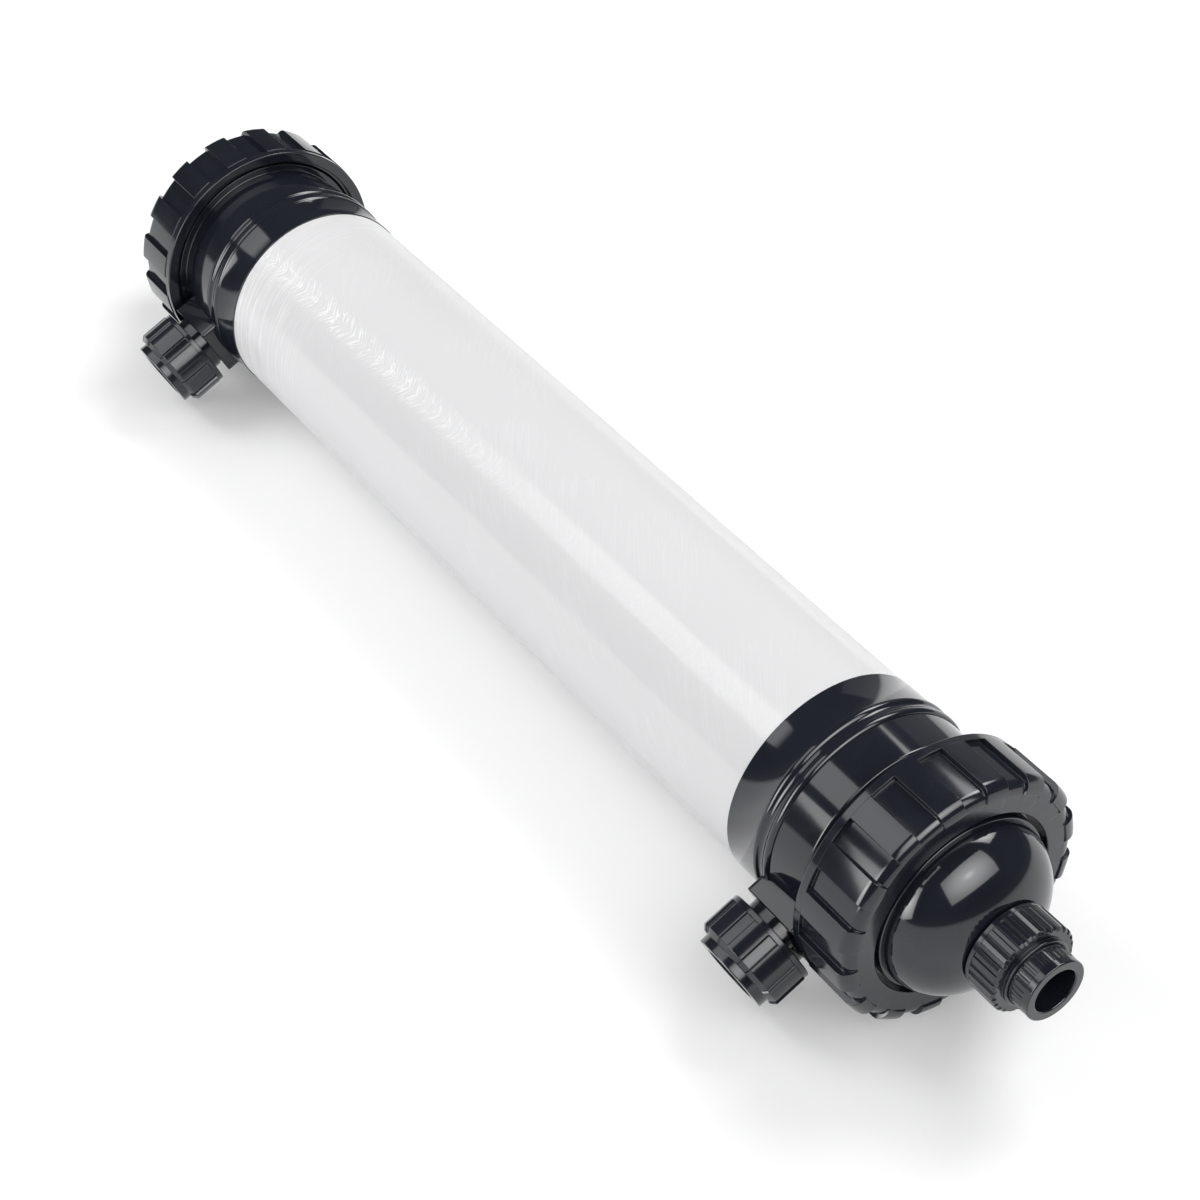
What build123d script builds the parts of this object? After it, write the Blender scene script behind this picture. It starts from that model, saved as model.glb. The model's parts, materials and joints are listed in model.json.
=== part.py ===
from build123d import *
import os
from math import asin, cos, degrees, radians, sin, sqrt

# Ultrafiltration membrane module lying on a flat floor, in millimetres.
# +X runs along the tube to the feed end, +Z is up, and the side ports point to -Y, a little down.
# The origin is the middle of the footprint, on the floor.
# A station is a distance outwards along +X from the plane where the head meets the bare tube.
# A reach is a distance from the module's axis along a side port's own axis.

# Tube, fibres and film
tube_outer_r = 100.0
tube_wall = 7.7
tube_bare_length = 838.0
film_gap = 0.05
film_thickness = 0.3
fibre_room = 6.25

# Clearances
seat_gap = 0.3
glue_gap = 0.05
thread_gap = 0.3
seal_rise = 0.2
overcut = 1.0

# Small chamfer of the mouldings
edge = 1.0

# End head
collar_rise = 1.2
collar_edge = 0.8
spigot_depth = 45.0
spigot_wall = 8.0
cavity_relief = 1.75
bead_stations = (38.5, 52.0)
bead_width = 8.0
bead_height = 1.9
band_step = 0.8
band_taper = 2.0
band_end = 93.0
neck_step = 2.9
neck_start = 96.5
main_thread_start = 112.0
main_thread_rise = 3.8
main_thread_depth = 2.0
head_length = 150.2
potting_length = 38.0
potting_edge = 1.5

# Dome cap
flange_inset = 0.5
flange_thickness = 10.0
cap_step_room = 4.5
cap_step_length = 11.0
cap_step_edge = 1.2
dome_shoulder = 3.0
dome_height = 56.0
dome_wall = 8.0
dome_land_r = 39.5
dome_seal_inset = 9.75
dome_seal_section = 5.0

# Lock ring
ring_pads = 16
ring_wall = 12.7
ring_pad_rise = 0.8
ring_rim_width = 8.0
ring_rear_station = 108.5
ring_recess_depth = 4.8
ring_recess_share = 0.5
ring_lip = 18.1
ring_mouth_edge = 1.5
ring_front_thickness = 13.0
ring_bevel_length = 10.5
ring_bevel_drop = 13.0
ring_toe_height = 1.5
ring_toe_width = 1.2
ring_floor_run = 0.3
ring_throat_length = 4.5
ring_throat_extra = 2.2

# Unions: axial one on the dome, side one on the head's boss
union_thread_depth = 1.45
union_seal_section = 3.5
union_groove_side = 0.35
union_bore_r = 17.5
socket_r = 20.1
socket_mouth_edge = 1.5

axial_spigot_r = 32.85
axial_spigot_length = 22.5
axial_nut_rear_gap = 2.0
axial_nut_r = 41.0
axial_rib_height = 1.7
axial_ribs = 30
axial_rib_share = 0.55
axial_nut_land = 4.5
axial_land_drop = 0.5
axial_nut_length = 33.0
axial_nut_wall = 6.2
axial_nut_edge = 2.2
axial_nose_r = 31.6
axial_nose_length = 3.6
axial_flange_r = 31.4
axial_flange_thickness = 5.7
axial_tail_r = 28.7
axial_tail_rib_height = 1.0
axial_tail_ribs = 36
axial_tail_rib_share = 0.5
axial_tail_ledge = 1.0
axial_tail_rib_length = 13.0
axial_tail_land = 7.0
axial_socket_depth = 26.0

side_station = 76.4
side_fall_degrees = 26.0
boss_width = 61.0
boss_corner = 5.0
boss_rise = 12.3
side_spigot_r = 29.8
side_spigot_length = 23.5
side_nut_rear_gap = 9.0
side_nut_r = 43.2
side_pad_height = 2.6
side_pads = 10
side_pad_share = 0.62
side_nut_land = 5.0
side_land_drop = 0.6
side_nut_length = 38.5
side_nut_wall = 18.0
side_nut_edge = 4.0
side_nose_r = 35.2
side_nose_length = 8.0
side_flange_r = 29.0
side_flange_thickness = 5.2
side_tail_r = 25.0
side_tail_recess = 3.0
side_socket_depth = 24.0

# Worked-out sizes of the tube and the head
tube_inner_r = tube_outer_r - tube_wall
half_bare_length = tube_bare_length / 2
spigot_r = tube_inner_r - glue_gap
spigot_bore_r = spigot_r - spigot_wall
fibre_bundle_r = spigot_bore_r - fibre_room
head_cavity_r = spigot_bore_r + cavity_relief
dome_seal_r = spigot_bore_r + dome_seal_inset
collar_r = tube_outer_r + collar_rise
band_start_r = collar_r - band_step
band_end_r = band_start_r - band_taper
neck_r = band_end_r - neck_step
main_thread_r = collar_r + main_thread_rise
main_thread_core_r = main_thread_r - main_thread_depth
boss_reach = collar_r + boss_rise
potting_start = head_length - potting_length

# Worked-out sizes of the dome cap and the lock ring
ring_bore_r = main_thread_r + thread_gap
ring_mouth_r = main_thread_r - ring_lip
ring_rim_r = ring_bore_r + ring_wall
ring_pad_r = ring_rim_r + ring_pad_rise
flange_r = main_thread_r - flange_inset
cap_step_r = ring_mouth_r - cap_step_room
dome_r = cap_step_r - dome_shoulder
cap_start = head_length + seat_gap
flange_end = cap_start + flange_thickness
dome_base = flange_end + cap_step_length


def dome_station(height, base_r, at_r):
    """Where an elliptic dome has narrowed to the radius at_r."""
    return dome_base + height * sqrt(1 - (at_r / base_r) ** 2)


dome_land = dome_station(dome_height, dome_r, dome_land_r)
ring_shoulder = flange_end + seat_gap
ring_front = ring_shoulder + ring_front_thickness
ring_pitch_degrees = 360 / ring_pads
ring_recess_degrees = ring_pitch_degrees * ring_recess_share
ring_recess_start = ring_rear_station + ring_rim_width

# Resting place: the ring lies on the edges of two pads, with a recess between them at the bottom
rest_r = ring_pad_r * cos(radians(ring_recess_degrees / 2))
side_fall = radians(side_fall_degrees)


class Union:
    """Sizes of one union, as stations along its own axis."""

    def __init__(self, root, spigot_r, spigot_length, nut_rear_gap, nut_length, nut_wall,
                 flange_r, flange_thickness, nose_length, opening_r):
        self.root = root
        self.core_r = spigot_r - union_thread_depth
        self.thread_bore_r = spigot_r + thread_gap
        self.face = root + spigot_length
        self.nut_rear = root + nut_rear_gap
        self.nut_front = self.nut_rear + nut_length
        self.shoulder = self.nut_front - nut_wall
        self.nose_end = self.nut_front + nose_length
        self.opening_r = opening_r
        self.flange_r = flange_r
        self.flange_start = self.face + seat_gap
        self.flange_end = self.flange_start + flange_thickness
        self.seal_r = (union_bore_r + self.core_r) / 2


axial = Union(dome_land, axial_spigot_r, axial_spigot_length, axial_nut_rear_gap, axial_nut_length,
              axial_nut_wall, axial_flange_r, axial_flange_thickness, axial_nose_length,
              axial_tail_r + seat_gap)
side = Union(boss_reach, side_spigot_r, side_spigot_length, side_nut_rear_gap, side_nut_length,
             side_nut_wall, side_flange_r, side_flange_thickness, side_nose_length,
             side_tail_r + seat_gap)


def outline(*lines):
    """Closed flat outline: X is the station, Y the radius."""
    return make_face(Curve() + list(lines))


def turned(*lines):
    """Solid of revolution about the X axis from a closed outline."""
    return revolve(outline(*lines), Axis.X, 360)


def ring_cylinder(start, end, outer_r, inner_r):
    return turned(Polyline((start, inner_r), (start, outer_r), (end, outer_r), (end, inner_r),
                           close=True))


def disc(start, end, radius):
    return turned(Polyline((start, 0), (start, radius), (end, radius), (end, 0), close=True))


def around(cutter, count, first_degrees):
    """Copies of a cutter, evenly spaced about the X axis."""
    return [Rot(X=first_degrees + 360 / count * index) * cutter for index in range(count)]


def wedge(face, degrees):
    """Part turn of an outline about the X axis, centred on +Y."""
    return Rot(X=-degrees / 2) * revolve(face, Axis.X, degrees)


def o_ring(face_station, ring_r, section):
    """Ring that lies in a face groove and stands a little proud of the face."""
    centre = face_station + seal_rise - section / 2
    return revolve(Pos(centre, ring_r) * Circle(section / 2), Axis.X, 360)


def face_groove(face_station, ring_r, section):
    floor = face_station + seal_rise - section - glue_gap
    half_width = section / 2 + union_groove_side
    return ring_cylinder(floor, face_station + overcut, ring_r + half_width, ring_r - half_width)


def side_frame():
    """Frame of the side port: its X is the port's axis, its Z is the module's axis."""
    fall = (0, -cos(side_fall), -sin(side_fall))
    return Plane(origin=(side_station, 0, 0), x_dir=fall, z_dir=(1, 0, 0)).location


def bead(station, radius):
    half = bead_width / 2
    return ThreePointArc((station - half, radius), (station, radius + bead_height),
                         (station + half, radius))


def head_body():
    """The head's turned body with its collar, beads, neck and thread core, before it is bored."""
    first, second = bead_stations
    half = bead_width / 2
    return turned(
        Polyline((-spigot_depth, spigot_bore_r), (-spigot_depth, spigot_r), (0, spigot_r),
                 (0, collar_r - collar_edge), (collar_edge, collar_r), (first - half, collar_r)),
        bead(first, collar_r),
        Line((first + half, collar_r), (second - half, collar_r)),
        bead(second, collar_r),
        Polyline((second + half, collar_r), (second + half, band_start_r), (band_end, band_end_r),
                 (neck_start, neck_r), (main_thread_start, neck_r),
                 (main_thread_start, main_thread_core_r), (head_length, main_thread_core_r),
                 (head_length, spigot_bore_r), (-spigot_depth, spigot_bore_r)))


def port_bore():
    """Water way through the head's wall and the side port."""
    return side_frame() * disc(0, side.face + overcut, union_bore_r)


def end_head():
    cavity = disc(0, potting_start, head_cavity_r)
    mouth = disc(-spigot_depth - overcut, head_length + overcut, spigot_bore_r)
    dome_groove = face_groove(head_length, dome_seal_r, dome_seal_section)
    return head_body() - cavity - mouth - port_bore() - dome_groove


def side_port():
    """Square boss and spigot, fitted to the head's outer surface."""
    boss_plan = Plane.YZ * RectangleRounded(boss_width, boss_width, boss_corner)
    boss = Pos(head_cavity_r, 0, 0) * extrude(boss_plan, boss_reach - head_cavity_r)
    spigot = disc(boss_reach - overcut, side.face, side.core_r)
    port_groove = face_groove(side.face, side.seal_r, union_seal_section)
    return side_frame() * (boss + spigot - port_groove) - head_body() - port_bore()


def dome_cap():
    inner_r = dome_r - dome_wall
    inner_height = dome_height - dome_wall
    bore_start = dome_station(inner_height, inner_r, union_bore_r)
    cap = turned(
        Polyline((cap_start, inner_r), (cap_start, flange_r), (flange_end, flange_r),
                 (flange_end, cap_step_r), (dome_base - cap_step_edge, cap_step_r),
                 (dome_base, cap_step_r - cap_step_edge), (dome_base, dome_r)),
        dome_arc(dome_height, dome_r, dome_land_r),
        Polyline((dome_land, dome_land_r), (dome_land, axial.core_r), (axial.face, axial.core_r),
                 (axial.face, union_bore_r), (bore_start, union_bore_r)),
        dome_arc(inner_height, inner_r, union_bore_r),
        Line((dome_base, inner_r), (cap_start, inner_r)))
    return cap - face_groove(axial.face, axial.seal_r, union_seal_section)


def dome_arc(height, base_r, top_r):
    """Part of an ellipse from the dome's base up to where it has narrowed to top_r."""
    top_angle = degrees(asin(top_r / base_r))
    return EllipticalCenterArc((dome_base, 0), height, base_r, top_angle, arc_size=90 - top_angle)


def lock_ring():
    """Ring nut whose pads stand over its shoulder and end in a small toe on the front face."""
    floor_r = ring_pad_r - ring_recess_depth
    toe_r = ring_pad_r - ring_bevel_drop
    bevel_start = ring_front - ring_bevel_length
    face = ring_front - ring_toe_height
    face_r = toe_r - ring_toe_width
    throat_r = ring_bore_r + ring_throat_extra
    throat_end = ring_rear_station + ring_throat_length
    body = turned(
        Polyline((ring_rear_station, throat_r), (ring_rear_station, ring_rim_r - edge),
                 (ring_rear_station + edge, ring_rim_r), (ring_recess_start, ring_rim_r),
                 (ring_recess_start, ring_pad_r), (bevel_start, ring_pad_r)),
        shoulder_arc(bevel_start, ring_pad_r, ring_front, toe_r),
        Polyline((ring_front, toe_r), (ring_front, face_r), (face, face_r),
                 (face, ring_mouth_r + ring_mouth_edge), (face - ring_mouth_edge, ring_mouth_r),
                 (ring_shoulder, ring_mouth_r), (ring_shoulder, ring_bore_r), (throat_end, ring_bore_r),
                 (throat_end, throat_r), (ring_rear_station, throat_r)))
    floor_end_r = face_r - ring_floor_run
    recess = outline(
        Line((ring_recess_start, floor_r), (bevel_start, floor_r)),
        shoulder_arc(bevel_start, floor_r, face, floor_end_r),
        Polyline((face, floor_end_r), (ring_front + overcut, floor_end_r),
                 (ring_front + overcut, ring_pad_r + overcut),
                 (ring_recess_start, ring_pad_r + overcut), (ring_recess_start, floor_r)))
    return body - around(wedge(recess, ring_recess_degrees), ring_pads, 0)


def shoulder_arc(start, start_r, end, end_r):
    """Rounded shoulder from the ring's side to its front."""
    at = radians(50)
    middle = (start + (end - start) * sin(at), end_r + (start_r - end_r) * cos(at))
    return ThreePointArc((start, start_r), middle, (end, end_r))


def union_nut(union, nut_r, rib_height, ribs, rib_share, land, land_drop, front_edge, nose_r):
    """Nut with a plain rear land, grip ribs, a chamfered front and a short nose."""
    body_r = nut_r - rib_height
    land_r = nut_r - land_drop
    rib_start = union.nut_rear + land
    rib_end = union.nut_front - front_edge
    body = turned(Polyline(
        (union.nut_rear, union.thread_bore_r), (union.nut_rear, land_r - edge),
        (union.nut_rear + edge, land_r), (rib_start, land_r), (rib_start, nut_r), (rib_end, nut_r),
        (union.nut_front, nut_r - front_edge), (union.nut_front, nose_r),
        (union.nose_end - edge, nose_r), (union.nose_end, nose_r - edge),
        (union.nose_end, union.opening_r), (union.shoulder, union.opening_r),
        (union.shoulder, union.thread_bore_r), close=True))
    gap = outline(Polyline(
        (rib_start, body_r), (rib_end + rib_height, body_r),
        (union.nut_front + overcut, body_r - front_edge), (union.nut_front + overcut, nut_r + overcut),
        (rib_start, nut_r + overcut), close=True))
    gap_degrees = 360 / ribs * (1 - rib_share)
    return body - around(wedge(gap, gap_degrees), ribs, 0)


def axial_nut():
    return union_nut(axial, axial_nut_r, axial_rib_height, axial_ribs, axial_rib_share,
                     axial_nut_land, axial_land_drop, axial_nut_edge, axial_nose_r)


def side_nut():
    return union_nut(side, side_nut_r, side_pad_height, side_pads, side_pad_share,
                     side_nut_land, side_land_drop, side_nut_edge, side_nose_r)


def tail(union, outer_r, end, socket_depth):
    """Flanged tail with a through bore and a pipe socket at its outer end."""
    return turned(Polyline(
        (union.flange_start, union_bore_r), (union.flange_start, union.flange_r),
        (union.flange_end, union.flange_r), (union.flange_end, outer_r),
        (end - edge, outer_r), (end, outer_r - edge), (end, socket_r + socket_mouth_edge),
        (end - socket_mouth_edge, socket_r), (end - socket_depth, socket_r),
        (end - socket_depth, union_bore_r), close=True))


def axial_tail():
    rib_start = axial.nose_end + axial_tail_ledge
    rib_end = rib_start + axial_tail_rib_length
    body = tail(axial, axial_tail_r, rib_end + axial_tail_land, axial_socket_depth)
    gap = outline(Polyline(
        (rib_start, axial_tail_r - axial_tail_rib_height), (rib_end, axial_tail_r - axial_tail_rib_height),
        (rib_end, axial_tail_r + overcut), (rib_start, axial_tail_r + overcut), close=True))
    gap_degrees = 360 / axial_tail_ribs * (1 - axial_tail_rib_share)
    return body - around(wedge(gap, gap_degrees), axial_tail_ribs, 0)


def side_tail():
    return tail(side, side_tail_r, side.nose_end - side_tail_recess, side_socket_depth)


def potting_block():
    outer_r = spigot_bore_r - glue_gap
    end = head_length - glue_gap
    return turned(Polyline((potting_start, 0), (potting_start, outer_r), (end - potting_edge, outer_r),
                           (end, outer_r - potting_edge), (end, 0), close=True))


def end_pieces():
    """All the pieces of one end, by name, on the module's axis, with stations along +X."""
    port = side_frame()
    return {
        "head": end_head(),
        "side_port": side_port(),
        "potting": potting_block(),
        "dome_cap": dome_cap(),
        "dome_seal": o_ring(head_length, dome_seal_r, dome_seal_section),
        "lock_ring": lock_ring(),
        "axial_seal": o_ring(axial.face, axial.seal_r, union_seal_section),
        "axial_nut": axial_nut(),
        "axial_tail": axial_tail(),
        "side_seal": port * o_ring(side.face, side.seal_r, union_seal_section),
        "side_nut": port * side_nut(),
        "side_tail": port * side_tail(),
    }


def long_pieces():
    film_r = tube_outer_r + film_gap
    fibre_half = half_bare_length + potting_start
    return {
        "membrane_tube": ring_cylinder(-half_bare_length, half_bare_length, tube_outer_r, tube_inner_r),
        "film_wrap": ring_cylinder(-half_bare_length + seat_gap, half_bare_length - seat_gap,
                                   film_r + film_thickness, film_r),
        "fibre_bundle": disc(-fibre_half, fibre_half, fibre_bundle_r),
    }


def port_reach():
    """How far the side union stands out level from the module's axis."""
    nose = side.nose_end * cos(side_fall) + side_nose_r * sin(side_fall)
    nut = side.nut_front * cos(side_fall) + side_nut_r * sin(side_fall)
    return max(nose, nut)


def module():
    to_floor = Pos(0, (port_reach() - rest_r) / 2, rest_r)
    placed = {name: to_floor * solid for name, solid in long_pieces().items()}
    for name, solid in end_pieces().items():
        feed = Pos(half_bare_length, 0, 0) * solid
        placed["feed_" + name] = to_floor * feed
        placed["outlet_" + name] = to_floor * mirror(feed, about=Plane.YZ)
    return placed


os.makedirs("parts", exist_ok=True)
for node, shape in module().items():
    export_step(shape, "parts/" + node + ".step")
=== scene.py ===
import json
from math import asin, ceil, cos, pi, radians, sin, sqrt, tan

import bmesh
import bpy
import numpy as np
from mathutils import Matrix, Quaternion, Vector


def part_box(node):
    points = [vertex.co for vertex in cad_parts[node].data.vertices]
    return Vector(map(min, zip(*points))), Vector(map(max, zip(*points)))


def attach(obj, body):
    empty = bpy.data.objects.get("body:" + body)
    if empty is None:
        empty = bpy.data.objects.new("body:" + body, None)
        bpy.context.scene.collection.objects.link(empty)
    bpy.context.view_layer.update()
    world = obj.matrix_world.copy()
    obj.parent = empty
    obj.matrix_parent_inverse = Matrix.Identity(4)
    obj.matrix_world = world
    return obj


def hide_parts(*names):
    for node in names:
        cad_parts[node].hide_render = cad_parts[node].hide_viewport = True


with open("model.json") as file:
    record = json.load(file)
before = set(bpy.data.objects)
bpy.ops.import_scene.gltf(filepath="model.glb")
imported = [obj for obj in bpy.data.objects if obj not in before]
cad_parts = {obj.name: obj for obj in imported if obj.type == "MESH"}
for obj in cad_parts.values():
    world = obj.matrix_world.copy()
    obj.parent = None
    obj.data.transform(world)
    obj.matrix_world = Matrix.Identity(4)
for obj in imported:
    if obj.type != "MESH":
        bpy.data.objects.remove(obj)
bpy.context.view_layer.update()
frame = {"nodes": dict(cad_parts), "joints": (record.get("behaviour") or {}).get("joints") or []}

# Ultrafiltration membrane module lying on a pale floor.
# A finished piece is in metres in the shared frame. Before it is placed, its sizes are millimetres:
# a station is a distance outwards from the plane where a head meets the bare tube, and a radius is
# taken from the piece's own axis. A side port's stations start at the module's axis.

MM = 0.001

# Placing, from the frame
tube_low, tube_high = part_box("membrane_tube")
film_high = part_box("film_wrap")[1]
ring_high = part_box("feed_lock_ring")[1]
axis_y = (tube_low.y + tube_high.y) / 2
axis_z = (tube_low.z + tube_high.z) / 2
half_length = tube_high.x
film_outer_r = (film_high.z - axis_z) / MM
film_half = film_high.x / MM
port_axis = Vector(next(joint["axis"] for joint in frame["joints"]
                        if joint["name"] == "feed_side_tail_slide"))

# Tube and film
tube_r = 100.0
film_gap = 0.05
film_seat = 0.02
film_rows = 300
film_columns = 320
crease_depth = 0.12
# Creases pressed into the film: slant in degrees, their length scale across and along, and a shift
pressed_creases = ((38, 9.0, 90.0, 0.0), (-42, 11.0, 110.0, 5.0), (4, 14.0, 240.0, 9.0))
# Thin strokes in the film's finish, bumped into its coat and painted lighter as painted highlights: slant
# in degrees, and how many to the metre across and along
feathers_laid = (52, 310.0, 40.0)
hoops_laid = (86, 420.0, 7.0)
drags_laid = (38, 300.0, 12.0)
# Line on the unrolled film, in metres from its top, where the tube strip's reflection runs; the feathered
# strokes lie beside it and are painted lighter there as painted highlights
painted_glint_line = -0.0614

# End head
collar_r = 101.2
spigot_depth = 45.0
spigot_r = 92.25
spigot_bore_r = 84.25
cavity_r = 86.0
potting_start = 112.2
bead_stations = (38.5, 52.0)
bead_width = 8.0
bead_height = 1.9
band_start_r = 100.4
band_end_r = 98.4
band_end = 93.0
neck_r = 95.5
neck_start = 96.5
thread_start = 112.0
thread_core_r = 103.0
head_length = 150.2
dome_seal_r = 94.0
dome_seal_section = 5.0
seal_rise = 0.2
groove_gap = 0.05
groove_side = 0.35

# Dome cap
cap_start = 150.5
flange_end = 160.5
flange_r = 104.5
cap_step_r = 82.4
dome_base = 171.5
dome_r = 79.4
dome_height = 56.0
dome_wall = 8.0
dome_land_r = 39.5

# Lock ring
ring_pads = 16
ring_pad_r = 118.8
ring_rim_r = 118.0
ring_rear = 108.5
ring_rim_width = 8.0
ring_recess_depth = 4.8
ring_pad_share = 0.5
ring_mouth_r = 86.9
ring_shoulder = 160.8
ring_front = (ring_high.x - half_length) / MM
ring_foot = 1.5
ring_bevel_length = 10.5
ring_bevel_drop = 13.0
ring_bore_r = 105.3
ring_throat_r = 107.5
ring_throat_length = 4.5

# Unions
bore_r = 17.5
socket_r = 20.1
socket_mouth_edge = 1.5
union_seal_section = 3.5
thread_depth = 1.45
union_pitch = 2.309
main_thread_depth = 2.0
main_pitch = 6.0
thread_lead = 0.8
main_thread_lead = 3.0
main_thread_trail = 3.4
clearance = 0.3
boss_width = 61.0
boss_corner = 5.0
boss_root = 88.0
boss_reach = 113.5
side_station = 76.4


class Union:
    """Sizes of one union along its own axis."""

    def __init__(self, **sizes):
        self.__dict__.update(sizes)


axial = Union(root=dome_base + dome_height * sqrt(1 - (dome_land_r / dome_r) ** 2), spigot_r=32.85,
              spigot_length=22.5, nut_gap=2.0, nut_length=33.0, nut_wall=6.2, nut_r=41.0, ribs=30,
              rib_height=1.7, rib_share=0.55, land=4.5, land_drop=0.5, front_edge=2.2, nose_r=31.6,
              nose_length=3.6, flange_r=31.4, flange_thickness=5.7, tail_r=28.7, opening_r=29.0)
side = Union(root=boss_reach, spigot_r=29.8, spigot_length=23.5, nut_gap=9.0, nut_length=38.5,
             nut_wall=18.0, nut_r=43.2, ribs=10, rib_height=2.6, rib_share=0.62, land=5.0,
             land_drop=0.6, front_edge=4.0, nose_r=35.2, nose_length=8.0, flange_r=29.0,
             flange_thickness=5.2, tail_r=25.0, opening_r=25.3)
for union in (axial, side):
    union.face = union.root + union.spigot_length
    union.core_r = union.spigot_r - thread_depth
    union.nut_rear = union.root + union.nut_gap
    union.nut_front = union.nut_rear + union.nut_length
    union.nose_end = union.nut_front + union.nose_length
    union.shoulder = union.nut_front - union.nut_wall
    union.seal_r = (bore_r + union.core_r) / 2

tail_ribs = 36
tail_rib_height = 1.0
tail_rib_share = 0.5
tail_rib_length = 13.0
axial_tail_end = axial.nose_end + 1 + tail_rib_length + 7.0
axial_socket_depth = 26.0
side_tail_end = side.nose_end - 3.0
side_socket_depth = 24.0


# Node trees

class Nodes:
    """Adds nodes to a tree. An input is given a value, or the socket that feeds it."""

    def __init__(self, tree):
        self.tree = tree

    def add(self, kind, inputs=None, **settings):
        node = self.tree.nodes.new(kind)
        for name, value in settings.items():
            setattr(node, name, value)
        self.feed(node, inputs or {})
        return node

    def feed(self, node, inputs):
        for key, value in inputs.items():
            if isinstance(value, bpy.types.NodeSocket):
                self.tree.links.new(value, node.inputs[key])
            else:
                node.inputs[key].default_value = value

    def math(self, operation, *values):
        return self.add("ShaderNodeMath", dict(enumerate(values)), operation=operation).outputs[0]

    def whole(self, operation, *values):
        node = self.add("FunctionNodeIntegerMath", dict(enumerate(values)), operation=operation)
        return node.outputs[0]

    def vector(self, operation, *values):
        node = self.add("ShaderNodeVectorMath", dict(enumerate(values)), operation=operation)
        return node.outputs[0]

    def scaled(self, vector, creases_and_painted_glints):
        node = self.add("ShaderNodeVectorMath", {0: vector, "Scale": creases_and_painted_glints}, operation="SCALE")
        return node.outputs[0]

    def ramp(self, value, low, high, from_value=0.0, to_value=1.0):
        """Smooth step from one value to another as value goes from low to high."""
        node = self.add("ShaderNodeMapRange", {"Value": value, "From Min": low, "From Max": high,
                                               "To Min": from_value, "To Max": to_value},
                        interpolation_type="SMOOTHSTEP")
        return node.outputs["Result"]


def shape_tree(name, sockets):
    """Empty geometry tree with a geometry input and output and the named inputs."""
    tree = bpy.data.node_groups.new(name, "GeometryNodeTree")
    tree.interface.new_socket("Geometry", in_out="INPUT", socket_type="NodeSocketGeometry")
    for label, kind in sockets.items():
        tree.interface.new_socket(label, in_out="INPUT", socket_type="NodeSocket" + kind)
    tree.interface.new_socket("Geometry", in_out="OUTPUT", socket_type="NodeSocketGeometry")
    nodes = Nodes(tree)
    return tree, nodes, nodes.add("NodeGroupInput").outputs


def finish_tree(nodes, geometry, finish):
    """Realizes a tree's geometry, gives it its finish and sends it out."""
    real = nodes.add("GeometryNodeRealizeInstances", {"Geometry": geometry})
    dressed = nodes.add("GeometryNodeSetMaterial", {"Geometry": real.outputs[0], "Material": finish})
    nodes.add("NodeGroupOutput", {"Geometry": dressed.outputs[0]})


def dressed(mesh, finish):
    """The mesh with this finish on all its faces."""
    mesh.materials.clear()
    mesh.materials.append(finish)
    mesh.polygons.foreach_set("material_index", np.zeros(len(mesh.polygons), int))
    return mesh


def made_by(tree, start, inputs):
    """Plain mesh that the tree makes from the start mesh with these inputs."""
    maker = bpy.data.objects.new("maker", start)
    bpy.context.scene.collection.objects.link(maker)
    modifier = maker.modifiers.new(tree.name, "NODES")
    modifier.node_group = tree
    for item in tree.interface.items_tree:
        if item.item_type == "SOCKET" and item.in_out == "INPUT" and item.name in inputs:
            modifier[item.identifier] = inputs[item.name]
    bpy.context.view_layer.update()
    depsgraph = bpy.context.evaluated_depsgraph_get()
    mesh = bpy.data.meshes.new_from_object(maker.evaluated_get(depsgraph), depsgraph=depsgraph)
    bpy.data.objects.remove(maker)
    return dressed(mesh, inputs["Finish"])


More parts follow.
